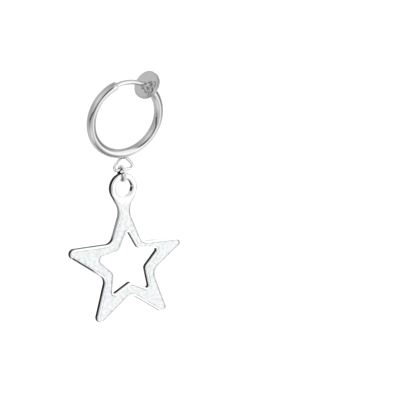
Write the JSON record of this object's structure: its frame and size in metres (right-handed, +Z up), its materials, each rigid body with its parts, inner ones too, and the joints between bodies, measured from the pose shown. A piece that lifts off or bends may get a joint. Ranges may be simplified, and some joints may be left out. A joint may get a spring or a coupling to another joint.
{
  "type": "clip-on earring",
  "caption": "Spring clip-on hoop earring: a wire retracts into a tube hoop between two round pads, and an open star charm hangs below on a loop and a jump ring.",
  "frame": {"origin": "midway between the two closed pads, where the ear lobe is gripped", "axes": "+Z up, against the way the charm hangs; the charm lies in the XZ plane and the hoop leans 11 degrees out of it, its top to -Y; -Y is the front"},
  "size_m": [0.0216, 0.0069, 0.0434],
  "materials": {
    "hoop_steel": "polished",
    "wire_steel": "polished",
    "ring_steel": "polished",
    "charm_silver": "bright cast and plated"
  },
  "bodies": {
    "hoop": {"hoop_tube": "hoop_steel"},
    "slider": {"clip_wire": "wire_steel"},
    "ring": {"jump_ring": "ring_steel"},
    "charm": {"star_charm": "charm_silver"}
  },
  "joints": [
    {"name": "wire_retract", "type": "hinge", "parent": "hoop", "child": "slider", "pos_m": [-0.00409, 0.00104, -0.00533], "axis": [0, -0.9816, -0.1908], "range_deg": [0, 44], "stiffness_Nm_per_rad": 0.004, "springref_deg": -28.65},
    {"name": "ring_swing", "type": "hinge", "parent": "hoop", "child": "ring", "pos_m": [-0.00429, 0.00288, -0.01483], "axis": [1, 0, 0], "range_deg": [-75, 75]},
    {"name": "charm_swing", "type": "hinge", "parent": "ring", "child": "charm", "pos_m": [-0.00429, 0.00288, -0.01679], "axis": [0, 1, 0], "range_deg": [-34, 34]}
  ]
}
